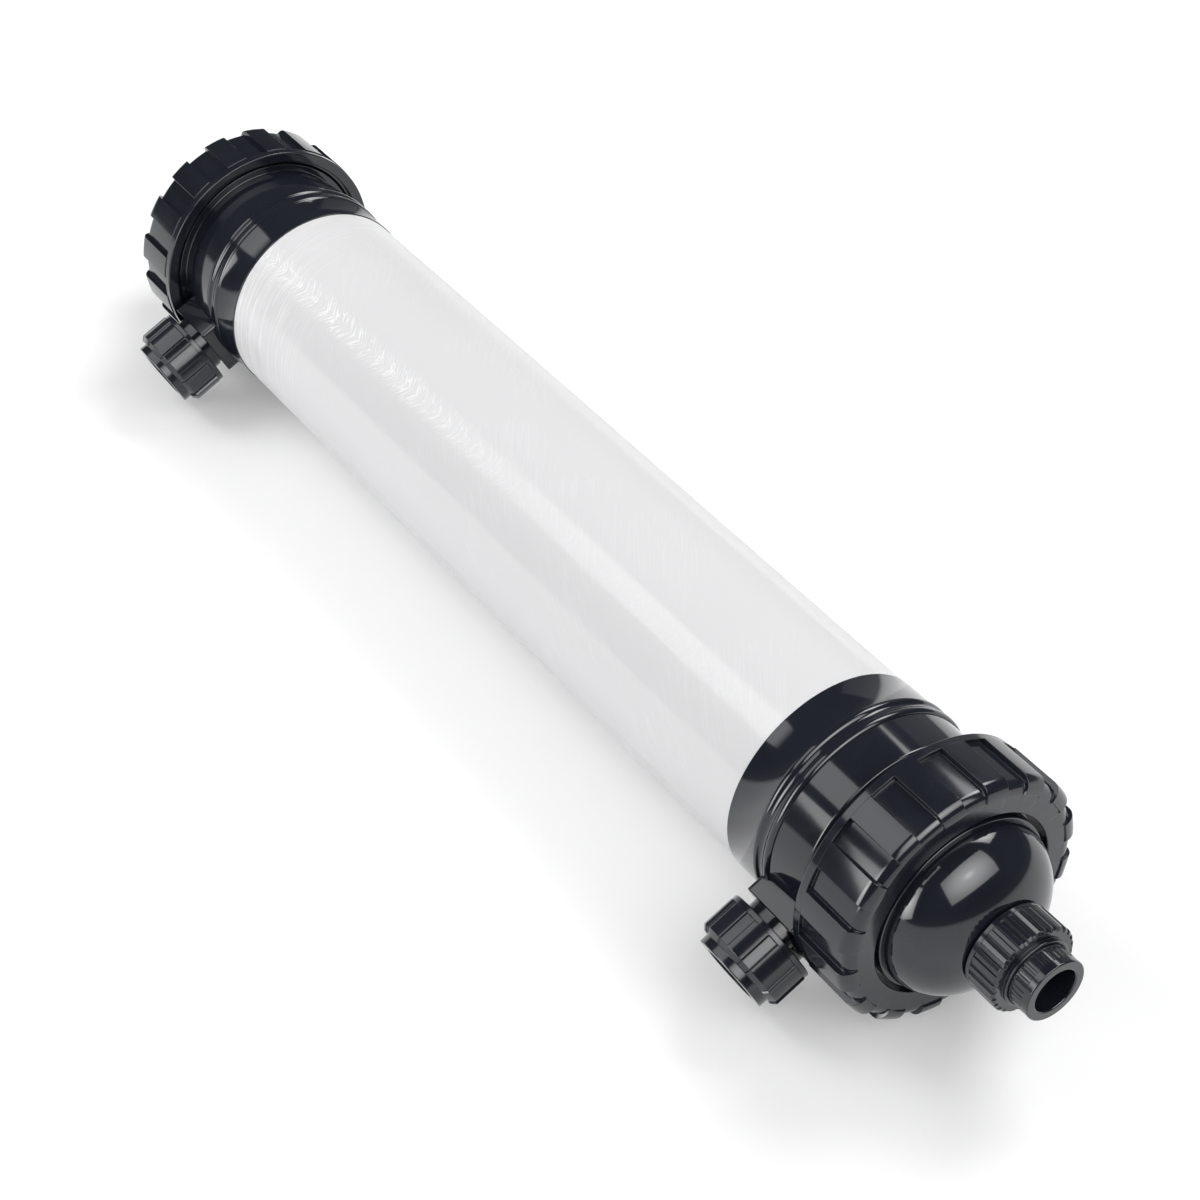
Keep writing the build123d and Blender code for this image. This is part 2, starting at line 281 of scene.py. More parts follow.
def turned_tree():
    """Turns an outline about X. Ribs lift it by its own lift, as the rib section says."""
    tree, nodes, given = shape_tree("turned piece", {"Rib Section": "Object", "Ribs": "Int",
                                                     "Finish": "Material"})
    section = nodes.add("GeometryNodeObjectInfo", {"Object": given["Rib Section"]})
    size = {}
    for name, geometry in (("outline", given["Geometry"]), ("section", section.outputs["Geometry"])):
        counter = nodes.add("GeometryNodeAttributeDomainSize", {"Geometry": geometry}, component="MESH")
        size[name] = counter.outputs["Point Count"]
    turns = nodes.whole("MULTIPLY", size["section"], given["Ribs"])
    grid = nodes.add("GeometryNodeMeshGrid", {"Vertices X": nodes.whole("ADD", turns, 1),
                                              "Vertices Y": size["outline"]})
    index = nodes.add("GeometryNodeInputIndex").outputs[0]
    column = nodes.whole("DIVIDE_FLOOR", index, size["outline"])
    row = nodes.whole("MODULO", index, size["outline"])
    rib = nodes.whole("DIVIDE_FLOOR", column, size["section"])
    step = nodes.whole("MODULO", column, size["section"])

    def sampled(geometry, value, at):
        node = nodes.add("GeometryNodeSampleIndex", {"Geometry": geometry, "Value": value, "Index": at},
                         data_type="FLOAT_VECTOR", domain="POINT")
        return node.outputs["Value"]

    position = nodes.add("GeometryNodeInputPosition").outputs[0]
    lift = nodes.add("GeometryNodeInputNamedAttribute", {"Name": "lift"}, data_type="FLOAT_VECTOR")
    base = sampled(given["Geometry"], position, row)
    lifted = sampled(given["Geometry"], lift.outputs["Attribute"], row)
    mark = nodes.add("ShaderNodeSeparateXYZ",
                     {0: sampled(section.outputs["Geometry"], position, step)}).outputs
    turn = nodes.math("DIVIDE", nodes.math("ADD", rib, mark["X"]), given["Ribs"])
    angle = nodes.math("MULTIPLY", turn, 2 * pi)
    place = nodes.add("ShaderNodeSeparateXYZ",
                      {0: nodes.vector("ADD", base, nodes.scaled(lifted, mark["Y"]))}).outputs
    spot = nodes.add("ShaderNodeCombineXYZ", {
        "X": place["X"],
        "Y": nodes.math("MULTIPLY", place["Y"], nodes.math("COSINE", angle)),
        "Z": nodes.math("MULTIPLY", place["Y"], nodes.math("SINE", angle))})
    moved = nodes.add("GeometryNodeSetPosition", {"Geometry": grid.outputs["Mesh"],
                                                  "Position": spot.outputs[0]})
    closed = nodes.add("GeometryNodeMergeByDistance", {"Geometry": moved.outputs[0], "Distance": 0.002})
    finish_tree(nodes, closed.outputs[0], given["Finish"])
    return tree


def screw_tree():
    """Screw thread about X: a ridge along a spiral, which runs out at both ends."""
    tree, nodes, given = shape_tree("screw thread", {
        "Start": "Float", "Root Radius": "Float", "Crest Radius": "Float", "Pitch": "Float",
        "Turns": "Float", "Crest Share": "Float", "Finish": "Material"})
    steps_a_turn = 96
    spiral = nodes.add("GeometryNodeCurveSpiral", {
        "Resolution": steps_a_turn, "Rotations": given["Turns"],
        "Start Radius": given["Root Radius"], "End Radius": given["Root Radius"],
        "Height": nodes.math("MULTIPLY", given["Pitch"], given["Turns"])})
    upright = nodes.add("GeometryNodeSetCurveNormal", {"Curve": spiral.outputs[0]}, mode="Z_UP")
    factor = nodes.add("GeometryNodeSplineParameter").outputs["Factor"]
    from_end = nodes.math("MULTIPLY", given["Turns"],
                          nodes.math("MINIMUM", factor, nodes.math("SUBTRACT", 1.0, factor)))
    runout = nodes.ramp(from_end, 0.0, 0.25, 0.05, 1.0)
    shaped = nodes.add("GeometryNodeSetCurveRadius", {"Curve": upright.outputs[0], "Radius": runout})
    height = nodes.math("SUBTRACT", given["Crest Radius"], given["Root Radius"])
    ridge = nodes.add("GeometryNodeCurvePrimitiveQuadrilateral", {
        "Bottom Width": nodes.math("MULTIPLY", given["Pitch"], 0.9),
        "Top Width": nodes.math("MULTIPLY", given["Pitch"], given["Crest Share"]),
        "Height": nodes.math("MULTIPLY", height, 2.0), "Offset": 0.0}, mode="TRAPEZOID")
    upright_ridge = nodes.add("GeometryNodeTransform", {"Geometry": ridge.outputs[0],
                                                        "Rotation": (0.0, 0.0, -pi / 2)})
    thread = nodes.add("GeometryNodeCurveToMesh", {
        "Curve": shaped.outputs[0], "Profile Curve": upright_ridge.outputs[0], "Fill Caps": True})
    along = nodes.add("ShaderNodeCombineXYZ", {"X": given["Start"]})
    laid = nodes.add("GeometryNodeTransform", {"Geometry": thread.outputs[0],
                                               "Translation": along.outputs[0],
                                               "Rotation": (0.0, pi / 2, 0.0)})
    finish_tree(nodes, laid.outputs[0], given["Finish"])
    return tree


def crease_tree():
    """Presses fine creases at three slants into a stretched film, deeper near its ends."""
    tree, nodes, given = shape_tree("film creases", {"Depth": "Float", "Outer Radius": "Float",
                                                     "Half Length": "Float", "Seed": "Float",
                                                     "Finish": "Material"})
    spot = nodes.add("ShaderNodeSeparateXYZ",
                     {0: nodes.add("GeometryNodeInputPosition").outputs[0]}).outputs
    radius = nodes.math("SQRT", nodes.math("ADD", nodes.math("MULTIPLY", spot["Y"], spot["Y"]),
                                           nodes.math("MULTIPLY", spot["Z"], spot["Z"])))
    angle = nodes.math("ARCTAN2", spot["Y"], spot["Z"])
    arc = nodes.math("MULTIPLY", angle, given["Outer Radius"])
    from_end = nodes.math("SUBTRACT", given["Half Length"], nodes.math("ABSOLUTE", spot["X"]))
    near_end = nodes.ramp(from_end, 0.0, 260.0, 1.0, 0.25)
    folds = None
    for slant_degrees, across, along, phase in pressed_creases:
        slant = radians(slant_degrees)
        u = nodes.math("ADD", nodes.math("MULTIPLY", spot["X"], cos(slant)),
                       nodes.math("MULTIPLY", arc, sin(slant)))
        v = nodes.math("SUBTRACT", nodes.math("MULTIPLY", arc, cos(slant)),
                       nodes.math("MULTIPLY", spot["X"], sin(slant)))
        flat = nodes.add("ShaderNodeCombineXYZ", {"X": nodes.math("DIVIDE", u, along),
                                                  "Y": nodes.math("DIVIDE", v, across),
                                                  "Z": nodes.math("ADD", given["Seed"], phase)})
        noise = nodes.add("ShaderNodeTexNoise", {"Vector": flat.outputs[0], "Scale": 1.0, "Detail": 2.0,
                                                 "Distortion": 0.6})
        ridge = nodes.math("ABSOLUTE", nodes.math("SUBTRACT", noise.outputs[0], 0.5))
        fold = nodes.ramp(ridge, 0.0, 0.16, 1.0, 0.0)
        folds = fold if folds is None else nodes.math("MAXIMUM", folds, fold)
    depth = nodes.math("MULTIPLY", nodes.math("MULTIPLY", folds, near_end), given["Depth"])
    seated = nodes.ramp(from_end, 0.0, 3.0)
    on_skin = nodes.math("GREATER_THAN", radius, nodes.math("SUBTRACT", given["Outer Radius"], 0.1))
    pressed = nodes.math("MULTIPLY", nodes.math("MULTIPLY", depth, seated), on_skin)
    inward = nodes.math("DIVIDE", nodes.math("MULTIPLY", pressed, -1.0), radius)
    offset = nodes.add("ShaderNodeCombineXYZ", {"Y": nodes.math("MULTIPLY", spot["Y"], inward),
                                                "Z": nodes.math("MULTIPLY", spot["Z"], inward)})
    moved = nodes.add("GeometryNodeSetPosition", {"Geometry": given["Geometry"],
                                                  "Offset": offset.outputs[0]})
    finish_tree(nodes, moved.outputs[0], given["Finish"])
    return tree


# Outlines

guard = 0.12
least_reach = 0.05


def rounded(corners, steps=None):
    """Points of an outline whose corners are (station, radius) or (station, radius, rounding)."""
    points = []
    for index, corner in enumerate(corners):
        here = np.array(corner[:2], float)
        rounding = corner[2] if len(corner) > 2 else 0
        if not rounding:
            points.append(here)
            continue
        before = np.array(corners[index - 1][:2]) - here
        after = np.array(corners[index + 1][:2]) - here
        before /= np.linalg.norm(before)
        after /= np.linalg.norm(after)
        turn = pi - np.arccos(np.clip(before @ after, -1, 1))
        reach = max(rounding * tan(turn / 2), least_reach)
        points.append(here + before * (reach + guard))
        points += arc(here + before * reach, here, here + after * reach, cos(turn / 2),
                      steps or (2 if rounding < 0.45 else 3))
        points.append(here + after * (reach + guard))
    return points


def arc(first, corner, last, weight, steps):
    """Round arc that leaves the first point towards the corner and ends at the last point."""
    points = []
    for share in np.linspace(0, 1, steps + 1):
        pulls = ((1 - share) ** 2, 2 * share * (1 - share) * weight, share ** 2)
        points.append((pulls[0] * first + pulls[1] * corner + pulls[2] * last) / sum(pulls))
    return points


def bulge(start, end, height, steps=8):
    """Corners along a round bead that stands on the line from start to end, both ends included."""
    start, end = np.array(start, float), np.array(end, float)
    half = np.linalg.norm(end - start) / 2
    radius = (height ** 2 + half ** 2) / (2 * height)
    along = (end - start) / (2 * half)
    outward = np.array((-along[1], along[0]))
    reach = asin(half / radius)
    middle = (start + end) / 2 + outward * (height - radius)
    angles = [reach * (2 * step / steps - 1) for step in range(steps + 1)]
    return [tuple(middle + radius * (along * sin(angle) + outward * cos(angle))) for angle in angles]


def ellipse(height, base_r, from_r, to_r, steps=28):
    """Corners along the dome between two radii."""
    angles = np.linspace(asin(from_r / base_r), asin(to_r / base_r), steps + 1)
    return [(dome_base + height * cos(angle), base_r * sin(angle)) for angle in angles]


def divided(points, longest):
    """Points with the long stretches between them cut into steps."""
    cut = [points[0]]
    for start, end in zip(points, points[1:]):
        parts = max(1, ceil(abs(end[0] - start[0]) / longest))
        cut += [start + (end - start) * part / parts for part in range(1, parts + 1)]
    return cut


def rib_section(radius, ribs, share, height, draft, edge, longest=3.4):
    """One gap and rib round the axis, from the middle of a gap: (share of the pitch, share of the lift)."""
    pitch = 2 * pi * radius / ribs
    foot = pitch * (1 - share) / 2
    corners = [(0, 0), (foot - draft / 2, 0, edge), (foot + draft / 2, height, edge),
               (pitch - foot - draft / 2, height, edge), (pitch - foot + draft / 2, 0, edge), (pitch, 0)]
    points = divided(rounded(corners, 2), longest)
    return [(x / pitch, y / height) for x, y in points[:-1]]


def groove(station, ring_r, section, inner_first=False):
    """Corners of the seal groove in a face, on the way inwards or outwards."""
    floor = station + seal_rise - section - groove_gap
    half = section / 2 + groove_side
    corners = [(station, ring_r + half), (floor, ring_r + half), (floor, ring_r - half),
               (station, ring_r - half)]
    return corners[::-1] if inner_first else corners


def points_mesh(points, lifts=None):
    """Mesh of loose points, each with its lift."""
    mesh = bpy.data.meshes.new("outline")
    mesh.vertices.add(len(points))
    mesh.vertices.foreach_set("co", np.array([(p[0], p[1], 0) for p in points], float).ravel())
    if lifts is not None:
        lift = mesh.attributes.new("lift", "FLOAT_VECTOR", "POINT")
        lift.data.foreach_set("vector", np.array([(x, r, 0) for x, r in lifts], float).ravel())
    return mesh


def tidy(mesh, sharp=50):
    """Merges doubles, turns the faces outwards and keeps sharp corners sharp."""
    whole = bmesh.new()
    whole.from_mesh(mesh)
    bmesh.ops.remove_doubles(whole, verts=whole.verts, dist=0.002)
    bmesh.ops.dissolve_degenerate(whole, edges=whole.edges, dist=0.0005)
    bmesh.ops.recalc_face_normals(whole, faces=whole.faces)
    whole.to_mesh(mesh)
    whole.free()
    mesh.shade_smooth()
    mesh.set_sharp_from_angle(angle=radians(sharp))
    return mesh


def turned(corners, finish, segments=240):
    """Plain turned piece."""
    outline = rounded(corners)
    return turned_ribs(outline, outline, [(0, 0)], segments, finish)


def turned_ribs(low, high, section, ribs, finish):
    """Turned piece whose outline is low in the gaps and high on the ribs."""
    lifts = [(top[0] - bottom[0], top[1] - bottom[1]) for bottom, top in zip(low, high)]
    marker = bpy.data.objects.new("rib section", points_mesh(section))
    bpy.context.scene.collection.objects.link(marker)
    mesh = made_by(turning, points_mesh(low, lifts), {"Rib Section": marker, "Ribs": ribs,
                                                      "Finish": finish})
    bpy.data.objects.remove(marker)
    return tidy(mesh)


def thread(start, root_r, crest_r, pitch, turns, finish):
    inputs = {"Start": start, "Root Radius": root_r, "Crest Radius": crest_r, "Pitch": pitch,
              "Turns": float(turns), "Crest Share": 0.22, "Finish": finish}
    return tidy(made_by(threading, bpy.data.meshes.new("nothing"), inputs))


def union_thread(union, finish):
    """Thread of a spigot, which stops short of the spigot's face."""
    turns = union.spigot_length / union_pitch - 0.8
    return thread(union.root + thread_lead, union.core_r, union.spigot_r, union_pitch, turns, finish)


def joined(*meshes):
    """One mesh with the shells of all."""
    whole = bmesh.new()
    for mesh in meshes:
        whole.from_mesh(mesh)
    together = meshes[0].copy()
    whole.to_mesh(together)
    whole.free()
    return together


def combined(body, tool, operation):
    """Union or difference of two closed meshes."""
    first = bpy.data.objects.new("body", body)
    second = bpy.data.objects.new("tool", tool)
    for obj in (first, second):
        bpy.context.scene.collection.objects.link(obj)
    modifier = first.modifiers.new("cut", "BOOLEAN")
    modifier.object = second
    modifier.operation = operation
    modifier.solver = "EXACT"
    depsgraph = bpy.context.evaluated_depsgraph_get()
    mesh = bpy.data.meshes.new_from_object(first.evaluated_get(depsgraph), depsgraph=depsgraph)
    bpy.data.objects.remove(first)
    bpy.data.objects.remove(second)
    return dressed(mesh, body.materials[0])


# Placing

def end_place(end):
    """From an end's stations in millimetres to the shared frame."""
    outwards = 1 if end == "feed" else -1
    return (Matrix.Translation((outwards * half_length, axis_y, axis_z))
            @ Matrix.Diagonal((outwards * MM, MM, MM, 1)))


def port_place():
    """From a side port's own stations to those of its end."""
    sideways = Vector((1, 0, 0)).cross(port_axis)
    turn = Matrix((port_axis, sideways, Vector((1, 0, 0)))).transposed().to_4x4()
    return Matrix.Translation((side_station, 0, 0)) @ turn


def placed(name, mesh, place, body, nodes):
    """Finished piece in the shared frame that stands for these CAD nodes."""
    own = mesh.copy()
    own.transform(place)
    if place.is_negative:
        own.flip_normals()
    piece = bpy.data.objects.new(name, own)
    bpy.context.scene.collection.objects.link(piece)
    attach(piece, body)
    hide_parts(*nodes)
    return piece


# Finishes

def emptied(shaded):
    """The node tree of a new material or world, with nothing in it."""
    shaded.use_nodes = True
    shaded.node_tree.nodes.clear()
    return Nodes(shaded.node_tree)


def material(name):
    finish = bpy.data.materials.new(name)
    nodes = emptied(finish)
    shader = nodes.add("ShaderNodeBsdfPrincipled")
    nodes.add("ShaderNodeOutputMaterial", {"Surface": shader.outputs[0]})
    return finish, nodes, shader


def object_spot(nodes):
    return nodes.add("ShaderNodeTexCoord").outputs["Object"]


def noise(nodes, vector, scale, detail=2.0, distortion=0.0):
    node = nodes.add("ShaderNodeTexNoise", {"Vector": vector, "Scale": scale, "Detail": detail,
                                            "Distortion": distortion})
    return node.outputs[0]


def mixed(nodes, factor, first, second):
    """Colour between two colours."""
    node = nodes.add("ShaderNodeMix", {"Factor": factor, "A": (*first, 1), "B": (*second, 1)},
                     data_type="RGBA")
    return next(socket for socket in node.outputs if socket.type == "RGBA")


def bumped(nodes, height, strength, distance):
    node = nodes.add("ShaderNodeBump", {"Strength": strength, "Distance": distance, "Height": height})
    return node.outputs[0]


def grey_pvc(name, gloss_low, gloss_high, skin_bump):
    """Moulded anthracite PVC: faint flow clouds in colour and gloss, and a fine uneven skin."""
    finish, nodes, shader = material(name)
    spot = object_spot(nodes)
    clouds = noise(nodes, spot, 14.0, 3.0, 0.8)
    fine = noise(nodes, spot, 420.0, 2.0)
    skin = noise(nodes, spot, 95.0, 2.0)
    colour = mixed(nodes, nodes.ramp(clouds, 0.3, 0.7), (0.0108, 0.0130, 0.0188), (0.0142, 0.0168, 0.0238))
    gloss = nodes.math("ADD", nodes.ramp(clouds, 0.25, 0.75, gloss_low, gloss_high),
                       nodes.math("MULTIPLY", fine, 0.03))
    nodes.feed(shader, {"Base Color": colour, "Roughness": gloss, "IOR": 1.54,
                        "Normal": bumped(nodes, skin, skin_bump, 0.0004)})
    return finish


def white_tube():
    """Extruded white PVC with faint draw lines along it."""
    finish, nodes, shader = material("white_tube")
    lines = nodes.add("ShaderNodeMapping", {"Vector": object_spot(nodes), "Scale": (1.5, 160.0, 160.0)})
    drawn = noise(nodes, lines.outputs[0], 1.0, 2.0)
    colour = mixed(nodes, drawn, (0.80, 0.80, 0.80), (0.86, 0.86, 0.86))
    nodes.feed(shader, {"Base Color": colour, "Roughness": 0.3,
                        "Normal": bumped(nodes, drawn, 0.15, 0.0002)})
    return finish


def film_finish():
    """Clear stretch film tight on white pipe: milky white with fine strokes, bumped into the coat and
    painted lighter in colour as painted highlights.

    Feathered strokes lie beside the line where the tube strip's reflection runs, on the outlet half, hoops
    run round near the outlet end, and faint drags cross the whole film.
    """
    finish, nodes, shader = material("film")
    flat = nodes.add("ShaderNodeUVMap", uv_map="unrolled").outputs[0]
    place = nodes.add("ShaderNodeSeparateXYZ", {0: flat}).outputs
    from_line = nodes.math("ABSOLUTE", nodes.math("SUBTRACT", place["Y"], painted_glint_line))
    folded_flat = nodes.add("ShaderNodeCombineXYZ", {"X": place["X"], "Y": from_line}).outputs[0]
    to_outlet = nodes.ramp(place["X"], -0.25, 0.10, 1.0, 0.1)
    beside_line = nodes.ramp(from_line, 0.006, 0.018, 1.0, 0.0)
    from_outlet = nodes.math("ADD", place["X"], film_half * MM)
    feathers_and_painted_glints = nodes.math("MULTIPLY", film_strokes(nodes, folded_flat, *feathers_laid),
                          nodes.math("MULTIPLY", to_outlet, beside_line))
    hoops = nodes.math("MULTIPLY", film_strokes(nodes, flat, *hoops_laid),
                       nodes.math("MULTIPLY", nodes.ramp(from_outlet, 0.02, 0.16, 0.8, 0.0),
                                  nodes.ramp(place["Y"], -0.11, -0.02, 1.0, 0.25)))
    drags = nodes.math("MULTIPLY", film_strokes(nodes, flat, *drags_laid),
                       nodes.ramp(noise(nodes, flat, 8.0, 2.0), 0.45, 0.60, 0.0, 0.12))
    creases_and_painted_glints = nodes.math("MAXIMUM", feathers_and_painted_glints, nodes.math("MAXIMUM", hoops, drags))
    # The strokes are painted lighter in colour: painted highlights on the creases, as well as the bump in
    # the coat.
    colour = mixed(nodes, creases_and_painted_glints, (0.745, 0.745, 0.755), (0.97, 0.97, 0.975))
    wrinkled = bumped(nodes, creases_and_painted_glints, 1.0, 0.0002)
    aslant = nodes.add("ShaderNodeLayerWeight", {"Blend": 0.5}).outputs["Facing"]
    nodes.feed(shader, {"Base Color": colour, "Roughness": 0.6, "IOR": 1.4,
                        "Specular IOR Level": 0.2, "Coat Weight": nodes.ramp(aslant, 0.5, 0.85, 0.8, 0.1),
                        "Coat IOR": 1.5, "Coat Roughness": 0.03, "Coat Normal": wrinkled})
    return finish


def film_strokes(nodes, flat, slant, across, along):
    """Thin strokes at a slant in the unrolled film, so many to the metre across and along themselves."""
    turned_flat = nodes.add("ShaderNodeMapping", {"Vector": flat, "Rotation": (0, 0, radians(slant))})
    drawn_out = nodes.add("ShaderNodeMapping", {"Vector": turned_flat.outputs[0],
                                                "Scale": (along, across, 1)})
    wave = noise(nodes, drawn_out.outputs[0], 1.0, 1.0, 0.4)
    return nodes.ramp(nodes.math("ABSOLUTE", nodes.math("SUBTRACT", wave, 0.5)), 0.0, 0.06, 1.0, 0.0)


def seal_rubber():
    """Black moulded rubber."""
    finish, nodes, shader = material("seal_rubber")
    grain = noise(nodes, object_spot(nodes), 700.0, 3.0)
    colour = mixed(nodes, grain, (0.012, 0.012, 0.012), (0.022, 0.022, 0.022))
    nodes.feed(shader, {"Base Color": colour, "Roughness": nodes.ramp(grain, 0.2, 0.8, 0.5, 0.65),
                        "Normal": bumped(nodes, grain, 0.2, 0.0002)})
    return finish


def potting_resin():
    """Pale resin with a faint cloudiness."""
    finish, nodes, shader = material("potting_resin")
    clouds = noise(nodes, object_spot(nodes), 40.0, 3.0)
    colour = mixed(nodes, clouds, (0.55, 0.47, 0.30), (0.66, 0.58, 0.40))
    nodes.feed(shader, {"Base Color": colour, "Roughness": 0.25,
                        "Normal": bumped(nodes, clouds, 0.1, 0.0005)})
    return finish


def fibre():
    """White hollow fibres that run along the module."""
    finish, nodes, shader = material("fibre")
    lines = nodes.add("ShaderNodeMapping", {"Vector": object_spot(nodes), "Scale": (3.0, 700.0, 700.0)})
    strands = noise(nodes, lines.outputs[0], 1.0, 1.0)
    colour = mixed(nodes, strands, (0.62, 0.61, 0.58), (0.86, 0.85, 0.82))
    nodes.feed(shader, {"Base Color": colour, "Roughness": 0.7,
                        "Normal": bumped(nodes, strands, 0.6, 0.0006)})
    return finish


# Pieces

def head(finish):
    """End head: collar with two beads, neck, big thread, square boss and threaded side spigot."""
    first, second = bead_stations
    half = bead_width / 2
    body = turned(
        [(-spigot_depth + 5, spigot_bore_r), (-spigot_depth, spigot_bore_r), (-spigot_depth, spigot_r, 1.0),
         (0, spigot_r), (0, collar_r, 0.8)]
        + bulge((first - half, collar_r), (first + half, collar_r), bead_height)
        + bulge((second - half, collar_r), (second + half, collar_r), bead_height)
        + [(second + half, band_start_r), (band_end, band_end_r, 3.0), (neck_start, neck_r, 3.0),
           (thread_start, neck_r, 1.5), (thread_start, thread_core_r, 0.8),
           (head_length, thread_core_r, 0.8)]
        + groove(head_length, dome_seal_r, dome_seal_section)
        + [(head_length, spigot_bore_r), (potting_start, spigot_bore_r), (potting_start, cavity_r),
           (0, cavity_r), (0, spigot_bore_r), (-spigot_depth + 5, spigot_bore_r)], finish)
    boss = rounded_prism(boss_width, boss_corner, boss_root, boss_reach, 1.0, finish)
    spigot = turned([(boss_reach - 4, 0), (boss_reach - 4, side.core_r), (side.face, side.core_r, 1.0)]
                    + groove(side.face, side.seal_r, union_seal_section) + [(side.face, 0)], finish, 96)
    bore = turned([(0, 0), (0, bore_r), (side.face + 5, bore_r), (side.face + 5, 0)], finish, 96)
    side_thread = union_thread(side, finish)
    main_thread_length = head_length - thread_start - main_thread_lead - main_thread_trail
    big_thread = thread(thread_start + main_thread_lead, thread_core_r, thread_core_r + main_thread_depth,
                        main_pitch, main_thread_length / main_pitch, finish)
    port_piece = combined(boss, spigot, "UNION")
    for mesh in (port_piece, bore, side_thread):
        mesh.transform(port_place())
    body = combined(combined(body, port_piece, "UNION"), bore, "DIFFERENCE")
    return joined(tidy(body), side_thread, big_thread)


def rounded_prism(width, corner, start, end, edge, finish, steps=6):
    """Square bar with rounded corners along X, with a rounded front edge."""
    mesh = bpy.data.meshes.new("boss")
    rings = [(start, 0)]
    rings += [(end - edge * (1 - sin(angle)), edge * (1 - cos(angle)))
              for angle in np.linspace(0, pi / 2, 5)]
    whole = bmesh.new()
    loops = []
    for station, inset in rings:
        loop = []
        for quarter in range(4):
            for step in range(steps + 1):
                angle = pi / 2 * (quarter + step / steps)
                middle = pi / 2 * quarter + pi / 4
                offset = (width / 2 - corner) * sqrt(2)
                radius = corner - inset
                loop.append(whole.verts.new((station,
                                             offset * cos(middle) + radius * cos(angle),
                                             offset * sin(middle) + radius * sin(angle))))
        loops.append(loop)
    for lower, upper in zip(loops, loops[1:]):
        for index in range(len(lower)):
            after = (index + 1) % len(lower)
            whole.faces.new((lower[index], lower[after], upper[after], upper[index]))
    whole.faces.new(loops[0])
    whole.faces.new(loops[-1])
    whole.to_mesh(mesh)
    whole.free()
    mesh.materials.append(finish)
    return tidy(mesh)


def dome_cap(finish):
    """Dome cap: clamped flange, step, elliptic dome and threaded axial spigot with its bore."""
    inner_r = dome_r - dome_wall
    inner_height = dome_height - dome_wall
    cap = turned(
        [(cap_start, inner_r + 5), (cap_start, flange_r, 0.8), (flange_end, flange_r, 0.8),
         (flange_end, cap_step_r, 0.5), (dome_base, cap_step_r, 1.2), (dome_base, dome_r)]
        + ellipse(dome_height, dome_r, dome_r, dome_land_r)[1:]
        + [(axial.root, axial.core_r + 1.2), (axial.root, axial.core_r, 0.6),
           (axial.face, axial.core_r, 1.0)]
        + groove(axial.face, axial.seal_r, union_seal_section)
        + [(axial.face, bore_r)]
        + ellipse(inner_height, inner_r, bore_r, inner_r)
        + [(cap_start, inner_r), (cap_start, inner_r + 5)], finish)
    return joined(cap, union_thread(axial, finish))


def lock_ring(finish):
    """Lock ring: a rim, sixteen grip pads that stand over a rounded shoulder, and a flat front face."""
    face = ring_front - ring_foot
    bevel_start = ring_front - ring_bevel_length
    recess_start = ring_rear + ring_rim_width
    floor_r = ring_pad_r - ring_recess_depth
    foot_r = ring_pad_r - ring_bevel_drop

    def shoulder(radius, end, end_r):
        angles = np.linspace(0, pi / 2, 9)
        return [(bevel_start + (end - bevel_start) * sin(angle), end_r + (radius - end_r) * cos(angle))
                for angle in angles]

    def whole(side_r, bend, foot):
        return rounded(
            [(ring_rear + 2, ring_throat_r), (ring_rear, ring_throat_r, 0.8), (ring_rear, ring_rim_r, 1.2),
             (recess_start, ring_rim_r, 0.3), (recess_start, side_r, 0.4)]
            + bend + foot
            + [(face, ring_mouth_r, 1.5), (ring_shoulder, ring_mouth_r), (ring_shoulder, ring_bore_r),
               (ring_rear + ring_throat_length, ring_bore_r),
               (ring_rear + ring_throat_length, ring_throat_r), (ring_rear + 2, ring_throat_r)])

    high = whole(ring_pad_r, shoulder(ring_pad_r, ring_front, foot_r),
                 [(ring_front, foot_r - 0.6, 0.5), (face, foot_r - 1.2)])
    low = whole(floor_r, shoulder(floor_r, face, foot_r - 1.5),
                [(face, foot_r - 2.2, 0.5), (face, foot_r - 3.5)])
    section = rib_section(ring_pad_r, ring_pads, ring_pad_share, ring_recess_depth, 0.6, 0.35)
    return turned_ribs(low, high, section, ring_pads, finish)


def union_nut(union, draft, edge, finish):
    """Union nut: plain land, grip ribs with rounded front ends, and a short nose."""
    body_r = union.nut_r - union.rib_height
    land_r = union.nut_r - union.land_drop
    bore = union.spigot_r + clearance
    rib_start = union.nut_rear + union.land
    front = union.nut_front

    def whole(side_r, drop):
        return rounded(
            [(union.nut_rear + 3, bore), (union.nut_rear, bore, 0.5), (union.nut_rear, land_r, 1.0),
             (rib_start, land_r, 0.3), (rib_start + 0.3, side_r, 0.3),
             (front - union.front_edge, side_r, drop), (front, side_r - union.front_edge, drop),
             (front, union.nose_r, 0.3), (union.nose_end, union.nose_r, 1.0),
             (union.nose_end, union.opening_r, 0.5), (union.shoulder, union.opening_r),
             (union.shoulder, bore), (union.nut_rear + 3, bore)])

    section = rib_section(union.nut_r, union.ribs, union.rib_share, union.rib_height, draft, edge)
    return turned_ribs(whole(body_r, 0.8), whole(union.nut_r, 0.8), section, union.ribs, finish)


def tail_corners(union, end, depth, outer):
    """Corners of a tail: flange, the given outer side, rounded socket mouth, socket and bore."""
    start = union.face + clearance
    shoulder = start + union.flange_thickness
    return ([(start + 2, bore_r), (start, bore_r), (start, union.flange_r, 0.6),
             (shoulder, union.flange_r, 0.6), (shoulder, union.tail_r)]
            + outer
            + [(end, union.tail_r, 1.2), (end, socket_r, socket_mouth_edge), (end - depth, socket_r),
               (end - depth, bore_r), (start + 2, bore_r)])


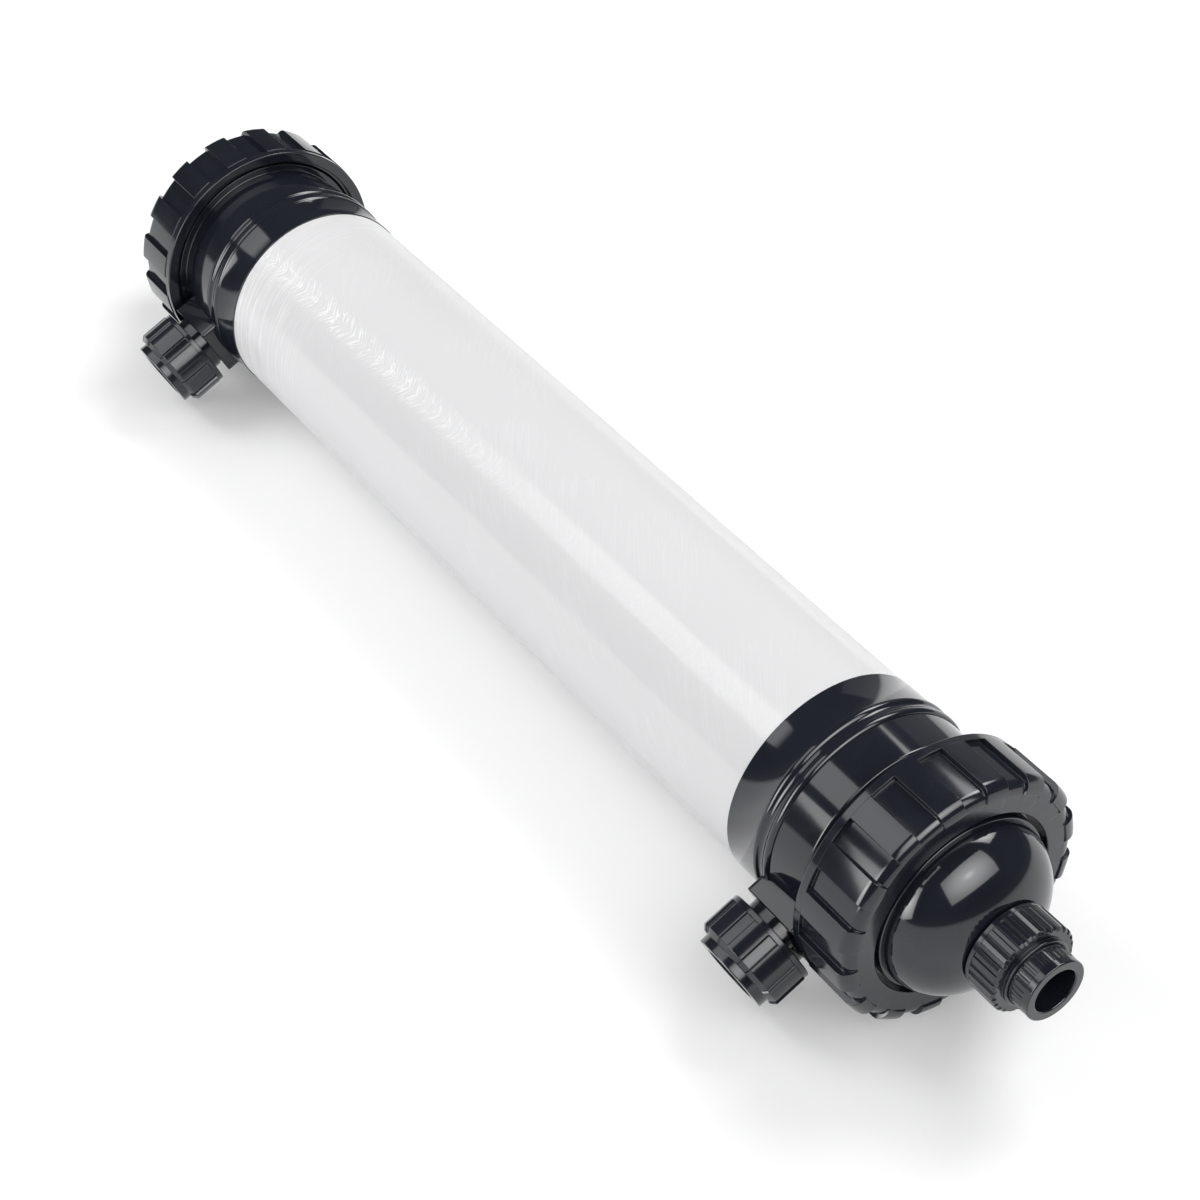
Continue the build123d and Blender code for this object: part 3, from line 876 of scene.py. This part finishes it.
def axial_tail(finish):
    """Axial tail with fine ribs behind a plain land."""
    rib_start = axial.nose_end + 1
    rib_end = rib_start + tail_rib_length

    def whole(side_r):
        outer = [(rib_start, axial.tail_r, 0.15), (rib_start + 0.4, side_r, 0.15),
                 (rib_end - 0.4, side_r, 0.15), (rib_end, axial.tail_r, 0.15)]
        return rounded(tail_corners(axial, axial_tail_end, axial_socket_depth, outer))

    section = rib_section(axial.tail_r, tail_ribs, tail_rib_share, tail_rib_height, 0.5, 0.25)
    return turned_ribs(whole(axial.tail_r - tail_rib_height), whole(axial.tail_r - 0.02), section,
                       tail_ribs, finish)


def side_tail(finish):
    return turned(tail_corners(side, side_tail_end, side_socket_depth, []), finish, 128)


def film_wrap(finish):
    """Stretch film: a thin closed sleeve with fine creases and its unrolled surface as a map."""
    inner_r = tube_r + film_gap - film_seat
    stations = np.linspace(-film_half, film_half, film_rows + 1)
    outline = ([(station, film_outer_r) for station in stations]
               + [(film_half, inner_r), (-film_half, inner_r), (-film_half, film_outer_r)])
    sleeve = turned_ribs(outline, outline, [(0, 0)], film_columns, finish)
    mesh = made_by(creasing, sleeve, {"Depth": crease_depth, "Outer Radius": film_outer_r,
                                      "Half Length": film_half, "Seed": 3.0, "Finish": finish})
    mesh.shade_smooth()
    mesh.transform(Matrix.Translation((0, axis_y, axis_z)) @ Matrix.Diagonal((MM, MM, MM, 1)))
    unrolled = mesh.uv_layers.new(name="unrolled")
    corners = np.zeros(len(mesh.loops), int)
    mesh.loops.foreach_get("vertex_index", corners)
    spots = np.zeros(len(mesh.vertices) * 3)
    mesh.vertices.foreach_get("co", spots)
    spots = spots.reshape(-1, 3)[corners]
    angles = np.arctan2(spots[:, 1] - axis_y, spots[:, 2] - axis_z)
    for start in range(0, len(angles), 4):
        face = angles[start:start + 4]
        if face.max() - face.min() > pi:
            face[face < 0] += 2 * pi
    flat = np.column_stack((spots[:, 0], angles * film_outer_r * MM))
    unrolled.data.foreach_set("uv", flat.ravel())
    return mesh


turning = turned_tree()
threading = screw_tree()
creasing = crease_tree()

# Camera and light
camera_azimuth = radians(55.74)
camera_elevation = radians(40.45)
camera_from_collar = Vector((1.1389, -1.0002, 1.4725))
lens_mm = 76.75
sensor_mm = 36.0
floor_width = 28.0
lamp_aim = 0.12
lamp_distance = 4.5
card_distance = 4.4
gloss_room = 0.2
floor_glow = 0.24
floor_gloss_glow = 0.35


def looking_back(azimuth, elevation):
    """Direction from the object towards a viewer or a lamp at this azimuth and elevation."""
    return Vector((sin(azimuth) * cos(elevation), -cos(azimuth) * cos(elevation), sin(elevation)))


def photo_camera():
    data = bpy.data.cameras.new("camera")
    data.lens = lens_mm
    data.sensor_width = sensor_mm
    camera = bpy.data.objects.new("camera", data)
    camera.location = Vector((half_length, axis_y, axis_z)) + camera_from_collar
    towards = -looking_back(camera_azimuth, camera_elevation)
    camera.rotation_euler = towards.to_track_quat("-Z", "Y").to_euler()
    bpy.context.scene.collection.objects.link(camera)
    bpy.context.scene.camera = camera


def softbox(name, azimuth, elevation, width, height, roll, light, shine=0.0, fade=1.0):
    """Softbox that faces the feed end: a lamp that lights it, and a bright card that only gloss shows.

    fade is 0 for an evenly lit panel, and 1 for a cloth with a bright spot that fades to its edges.
    A softbox with no shine has no card.
    """
    back = looking_back(radians(azimuth), radians(elevation))
    turn = Quaternion(back, radians(roll)) @ back.to_track_quat("Z", "Y")
    middle = Vector((half_length + lamp_aim, axis_y, axis_z))
    data = bpy.data.lights.new(name, "AREA")
    data.shape = "RECTANGLE"
    data.size = width
    data.size_y = height
    data.energy = light * pi * width * height
    lamp = bpy.data.objects.new(name, data)
    lamp.location = middle + back * lamp_distance
    lamp.rotation_euler = turn.to_euler()
    lamp.visible_camera = False
    lamp.visible_glossy = False
    bpy.context.scene.collection.objects.link(lamp)

    def cloth(nodes, spread):
        from_middle = nodes.add("ShaderNodeVectorMath", {0: spread}, operation="LENGTH").outputs["Value"]
        even = nodes.ramp(from_middle, 0.1, 1.3, (1 + 0.3 * fade) * shine, (1 - 0.45 * fade) * shine)
        return nodes.math("ADD", even, nodes.ramp(from_middle, 0.0, 0.3, 0.7 * fade * shine, 0.0))

    if shine > 0:
        corners = [middle + back * card_distance + turn @ Vector((x * width / 2, y * height / 2, 0))
                   for x, y in ((-1, -1), (1, -1), (1, 1), (-1, 1))]
        gloss_card(name, corners, cloth)


def strip_card(name, first, last, low, high, distance, shine):
    """Long card beside the tube, between two places along it and two heights in degrees.

    It is dark at the first place and brightens towards its middle.
    """
    corners = []
    for x, angle in ((first, low), (last, low), (last, high), (first, high)):
        sideways, upwards = distance * cos(radians(angle)), distance * sin(radians(angle))
        corners.append(Vector((x, axis_y - sideways, axis_z + upwards)))

    def brightening(nodes, spread):
        along = nodes.add("ShaderNodeSeparateXYZ", {0: spread}).outputs["X"]
        return nodes.ramp(along, -1.0, -0.2, 0.0, shine)

    gloss_card(name, corners, brightening)


def gloss_card(name, corners, glow):
    """Four-cornered card that only gloss shows. The glow is worked out from the spread over it."""
    mesh = sheet(name + " card", corners)
    spread = mesh.uv_layers.new(name="spread")
    spread.data.foreach_set("uv", (-1, -1, 1, -1, 1, 1, -1, 1))
    finish = bpy.data.materials.new(name + " card")
    nodes = emptied(finish)
    strength = glow(nodes, nodes.add("ShaderNodeUVMap", uv_map="spread").outputs[0])
    shining = nodes.add("ShaderNodeEmission", {"Color": (1, 1, 1, 1), "Strength": strength})
    nodes.add("ShaderNodeOutputMaterial", {"Surface": shining.outputs[0]})
    mesh.materials.append(finish)
    card = bpy.data.objects.new(name + " card", mesh)
    for other_ray in ("camera", "diffuse", "transmission", "volume_scatter", "shadow"):
        setattr(card, "visible_" + other_ray, False)
    bpy.context.scene.collection.objects.link(card)


def sheet(name, corners):
    """Flat mesh with these four corners."""
    mesh = bpy.data.meshes.new(name)
    mesh.from_pydata(corners, [], [(0, 1, 2, 3)])
    return mesh


def studio_world():
    """Dim room. Gloss shows it nearly dark, as a studio with its lamps apart."""
    world = bpy.data.worlds.new("studio")
    nodes = emptied(world)
    height = nodes.add("ShaderNodeSeparateXYZ",
                       {0: nodes.add("ShaderNodeTexCoord").outputs["Generated"]}).outputs["Z"]
    light = nodes.ramp(height, sin(radians(2)), sin(radians(12)), 0.6, 0.26)
    in_gloss = nodes.add("ShaderNodeLightPath").outputs["Is Glossy Ray"]
    level = nodes.math("MULTIPLY", light, nodes.ramp(in_gloss, 0.0, 1.0, 1.0, gloss_room))
    sky = nodes.add("ShaderNodeBackground", {"Color": (1, 1, 1, 1), "Strength": level})
    nodes.add("ShaderNodeOutputWorld", {"Surface": sky.outputs[0]})
    bpy.context.scene.world = world


def pale_floor():
    """Wide white floor. It looks a little brighter to the eye and in gloss, and keeps the shadow."""
    half = floor_width / 2
    mesh = sheet("floor", [(-half, -half, 0), (half, -half, 0), (half, half, 0), (-half, half, 0)])
    finish = bpy.data.materials.new("floor")
    nodes = emptied(finish)
    paint = nodes.add("ShaderNodeBsdfDiffuse", {"Color": (0.84, 0.84, 0.845, 1)})
    path = nodes.add("ShaderNodeLightPath").outputs
    straight = nodes.math("MAXIMUM", path["Is Camera Ray"], path["Is Transmission Ray"])
    seen = nodes.math("MULTIPLY", straight, floor_glow)
    mirrored = nodes.math("MULTIPLY", path["Is Glossy Ray"], floor_gloss_glow)
    glow = nodes.add("ShaderNodeEmission", {"Color": (1, 1, 1, 1),
                                            "Strength": nodes.math("ADD", seen, mirrored)})
    both = nodes.add("ShaderNodeAddShader", {0: paint.outputs[0], 1: glow.outputs[0]})
    nodes.add("ShaderNodeOutputMaterial", {"Surface": both.outputs[0]})
    mesh.materials.append(finish)
    floor = bpy.data.objects.new("floor", mesh)
    bpy.context.scene.collection.objects.link(floor)


photo_camera()
studio_world()
pale_floor()
bpy.context.scene.view_settings.view_transform = "Standard"
softbox("key softbox", azimuth=-161, elevation=52, width=2.05, height=1.8, roll=30, light=7.7, shine=7.5)
softbox("near softbox", azimuth=89, elevation=51, width=5.2, height=3.7, roll=12, light=1.6, shine=5.0)
softbox("side softbox", azimuth=-10, elevation=17, width=2.3, height=3.0, roll=24, light=2.0, shine=7.0)
softbox("back panel", azimuth=-61, elevation=36, width=1.9, height=2.6, roll=0, light=3.8)
softbox("far panel", azimuth=-143, elevation=18, width=2.6, height=2.6, roll=0, light=0.4, shine=0.3,
        fade=0.0)
strip_card("tube strip", first=-4.8, last=0.2, low=42.0, high=68.0, distance=4.0, shine=2.4)

# Making and placing
dull_grey = grey_pvc("grey_pvc", 0.09, 0.14, 0.04)
smooth_grey = grey_pvc("smooth_grey", 0.06, 0.09, 0.02)
glossy_grey = grey_pvc("glossy_grey", 0.05, 0.08, 0.02)
dull_pieces = {
    "lock_ring": (lock_ring, "{}_ring"),
    "axial_nut": (lambda finish: union_nut(axial, 0.7, 0.35, finish), "{}_axial_nut_body"),
    "axial_tail": (axial_tail, "{}_axial_tail_body"),
    "side_nut": (lambda finish: union_nut(side, 1.2, 0.7, finish), "{}_side_nut_body"),
    "side_tail": (side_tail, "{}_side_tail_body"),
}
meshes = {name: (make(dull_grey), body, "grey_pvc") for name, (make, body) in dull_pieces.items()}
meshes["head"] = (head(smooth_grey), "housing", "grey_pvc")
meshes["dome_cap"] = (dome_cap(glossy_grey), "{}_cap", "glossy_grey")
for end in ("feed", "outlet"):
    for name, (mesh, body, slot) in meshes.items():
        place = end_place(end)
        if name in ("side_nut", "side_tail"):
            place = place @ port_place()
        nodes = [end + "_" + name]
        if name == "head":
            nodes.append(end + "_side_port")
        placed(nodes[0] + "_moulding", mesh, place, body.format(end), nodes)
film = film_wrap(film_finish())
placed("creased_film", film, Matrix.Identity(4), "housing", ["film_wrap"])

inner_finishes = {"membrane_tube": white_tube(), "fibre_bundle": fibre()}
rubber = seal_rubber()
resin = potting_resin()
for end in ("feed", "outlet"):
    inner_finishes[end + "_potting"] = resin
    for seal in ("dome_seal", "axial_seal", "side_seal"):
        inner_finishes[end + "_" + seal] = rubber
for node, finish in inner_finishes.items():
    node_mesh = frame["nodes"][node].data
    node_mesh.materials.clear()
    node_mesh.materials.append(finish)
